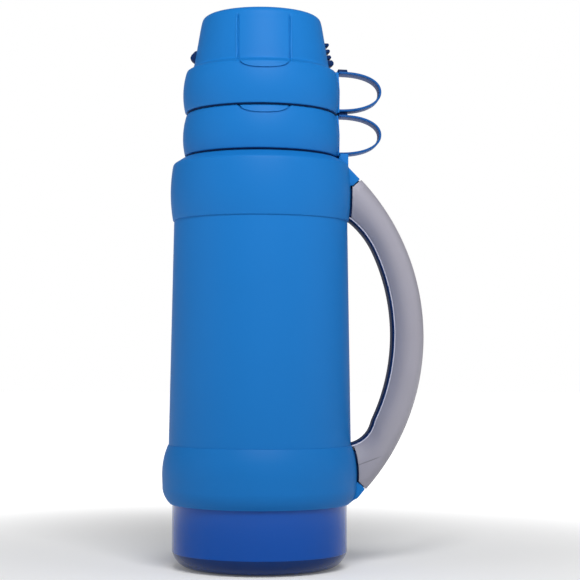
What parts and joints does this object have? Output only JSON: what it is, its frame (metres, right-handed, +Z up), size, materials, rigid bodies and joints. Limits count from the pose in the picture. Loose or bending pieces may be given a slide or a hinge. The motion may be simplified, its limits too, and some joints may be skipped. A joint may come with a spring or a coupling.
{
  "type": "vacuum flask",
  "caption": "Tall vacuum flask with a glass liner, a press-button pouring stopper, nested drinking cups with finger loops and a bowed side handle.",
  "frame": {"origin": "centre of the ring foot that the flask stands on", "axes": "+Z up along the flask's axis, +X towards the handle, +Y towards the back"},
  "size_m": [0.1797, 0.1348, 0.3785],
  "materials": {
    "soft_blue": "soft-touch satin, fine even grain",
    "gloss_blue": "polished moulding",
    "navy_core": "dark moulding under the grip",
    "grey_grip": "satin soft grip",
    "silvered_glass": "silvered thin glass",
    "felt_pad": "pressed fibre",
    "black_rubber": "matt",
    "silicone": "translucent matt",
    "pale_plastic": "satin moulding",
    "steel": "plain"
  },
  "bodies": {
    "flask": {"base_cup": "gloss_blue", "body_shell": "soft_blue", "lower_collar": "soft_blue", "upper_collar": "soft_blue", "outer_glass": "silvered_glass", "inner_glass": "silvered_glass", "glass_spacers": "felt_pad", "support_cushion": "black_rubber", "neck_gasket": "silicone", "neck_ring": "pale_plastic", "handle_core": "navy_core", "handle_grip": "grey_grip", "handle_screws": "steel"},
    "seal": {"plug_seal": "silicone"},
    "stopper": {"stopper_body": "pale_plastic", "stopper_cap": "soft_blue", "valve_spring": "steel"},
    "button": {"release_button": "grey_grip", "valve_stem": "pale_plastic", "valve_seal": "silicone"},
    "lower_cup": {"lower_cup": "soft_blue", "lower_cup_loop": "soft_blue"},
    "upper_cup": {"upper_cup": "soft_blue", "upper_cup_loop": "soft_blue"}
  },
  "joints": [
    {"name": "stopper_lift", "type": "slide", "parent": "flask", "child": "seal", "axis": [0, 0, 1], "range_m": [0, 0.075]},
    {"name": "stopper_turn", "type": "hinge", "parent": "seal", "child": "stopper", "pos_m": [0, 0, 0.3], "axis": [0, 0, 1], "range_deg": [0, 540]},
    {"name": "button_press", "type": "slide", "parent": "stopper", "child": "button", "axis": [0, 0, -1], "range_m": [0, 0.004], "stiffness_N_per_m": 400, "springref_m": -0.002, "deforming": ["valve_spring"]},
    {"name": "lower_cup_lift", "type": "slide", "parent": "seal", "child": "lower_cup", "axis": [0, 0, 1], "range_m": [0, 0.1]},
    {"name": "upper_cup_lift", "type": "slide", "parent": "lower_cup", "child": "upper_cup", "axis": [0, 0, 1], "range_m": [0, 0.1]}
  ]
}
